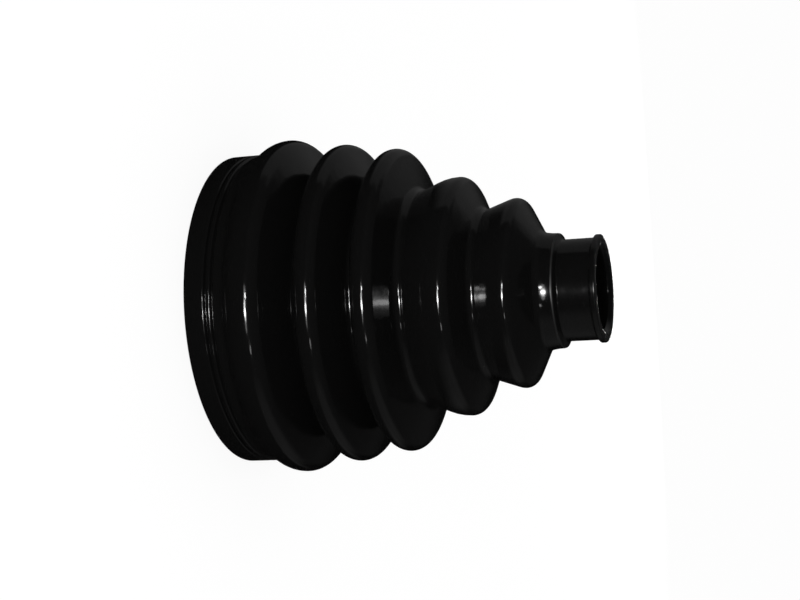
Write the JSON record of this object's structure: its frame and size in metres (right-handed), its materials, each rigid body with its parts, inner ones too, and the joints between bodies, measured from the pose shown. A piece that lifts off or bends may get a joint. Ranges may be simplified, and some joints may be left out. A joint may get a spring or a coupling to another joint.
{
  "type": "rubber bellows boot",
  "caption": "Conical black rubber bellows boot with rounded folds, a wide clamp collar at the large end and a lipped neck at the small end, open right through.",
  "frame": {"origin": "centre of the large end's rim plane, on the boot's axis, where the boot stands", "axes": "+Z runs along the boot's axis from the large end to the small end; the boot is round, so X and Y are any two directions across it"},
  "size_m": [0.0926, 0.0926, 0.102],
  "materials": {
    "rubber": "smooth gloss black, as moulded"
  },
  "bodies": {
    "root": {"bellows_boot": "rubber"}
  },
  "joints": []
}
